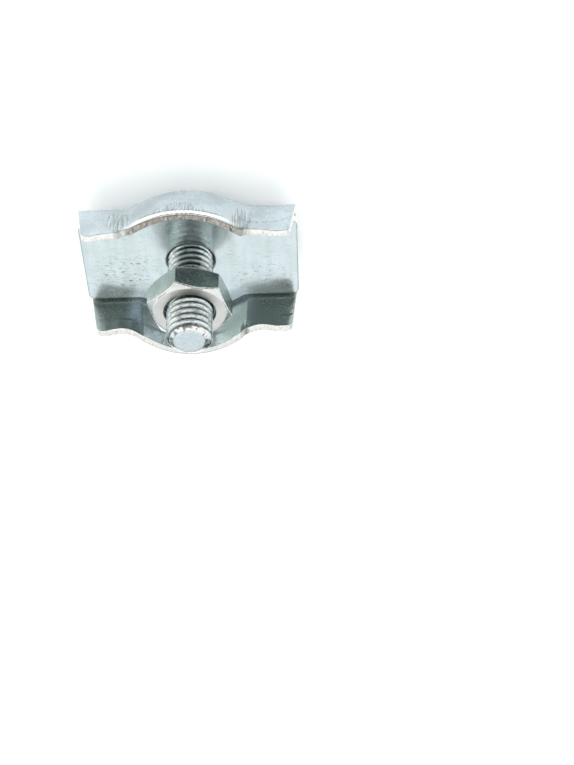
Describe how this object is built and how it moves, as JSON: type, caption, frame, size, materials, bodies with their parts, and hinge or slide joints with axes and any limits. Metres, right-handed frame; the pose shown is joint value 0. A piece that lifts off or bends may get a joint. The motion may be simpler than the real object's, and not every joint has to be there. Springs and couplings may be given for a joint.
{
  "type": "wire rope clip",
  "caption": "Flat single-bolt wire rope clip: a flanged channel plate and a nested clamp plate squeezed by a hexagon bolt and nut to grip two wire rope lines.",
  "frame": {"origin": "centre of the bolt head's outer face, which is the centre of the bottom of the whole part", "axes": "+Z along the bolt from its head to its tip, X along the rope lines, Y across them"},
  "size_m": [0.0378, 0.0368, 0.0268],
  "materials": {
    "outer_plate_zinc": "bright zinc plate, pressed and sheared, with tool marks",
    "inner_plate_zinc": "bright zinc plate, flat and glossy with fine scratches",
    "bolt_zinc": "bright zinc plate, rolled thread",
    "nut_zinc": "satin zinc plate"
  },
  "bodies": {
    "outer_plate": {"outer_plate": "outer_plate_zinc"},
    "bolt": {"bolt": "bolt_zinc"},
    "inner_plate": {"inner_plate": "inner_plate_zinc"},
    "nut": {"nut": "nut_zinc"}
  },
  "joints": [
    {"name": "bolt_turn", "type": "hinge", "parent": "outer_plate", "child": "bolt", "pos_m": [0, 0, 0], "axis": [0, 0, 1], "range_deg": [-547, 2074]},
    {"name": "plate_lift", "type": "slide", "parent": "outer_plate", "child": "inner_plate", "axis": [0, 0, 1], "range_m": [0, 0.0075]},
    {"name": "nut_travel", "type": "slide", "parent": "inner_plate", "child": "nut", "axis": [0, 0, 1], "range_m": [-0.0072, 0.0019]}
  ],
  "couplings": [
    {"joint": "bolt_turn", "follows": "nut_travel", "rad_per_m": -5026.5}
  ]
}
